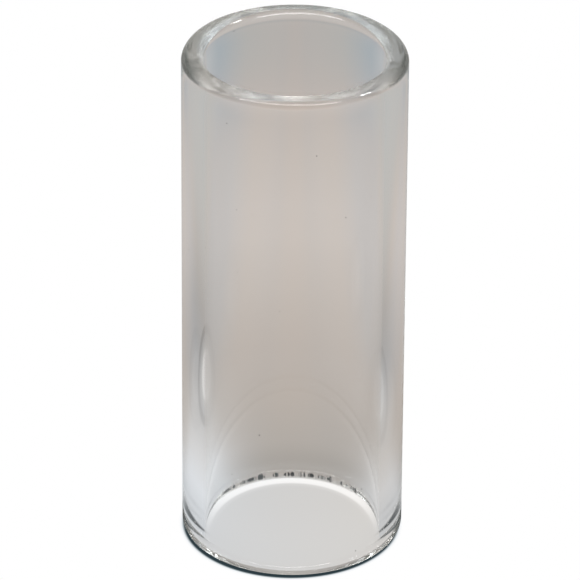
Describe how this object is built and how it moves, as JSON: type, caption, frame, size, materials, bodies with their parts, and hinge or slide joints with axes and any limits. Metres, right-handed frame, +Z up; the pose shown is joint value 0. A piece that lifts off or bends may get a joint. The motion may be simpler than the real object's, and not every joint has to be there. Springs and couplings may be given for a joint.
{
  "type": "guitar slide",
  "caption": "Clear glass guitar slide: a straight open tube with rounded fire-polished rims, worn on a finger and slid along the strings.",
  "frame": {"origin": "middle of the tube's lower end, on the plane that the slide stands on", "axes": "+Z up along the tube's axis; X and Y are across it, and the tube is the same all the way round"},
  "size_m": [0.025, 0.025, 0.06],
  "materials": {
    "clear_glass": "clear drawn borosilicate glass, polished, with fire-polished rims"
  },
  "bodies": {
    "root": {"glass_tube": "clear_glass"}
  },
  "joints": []
}
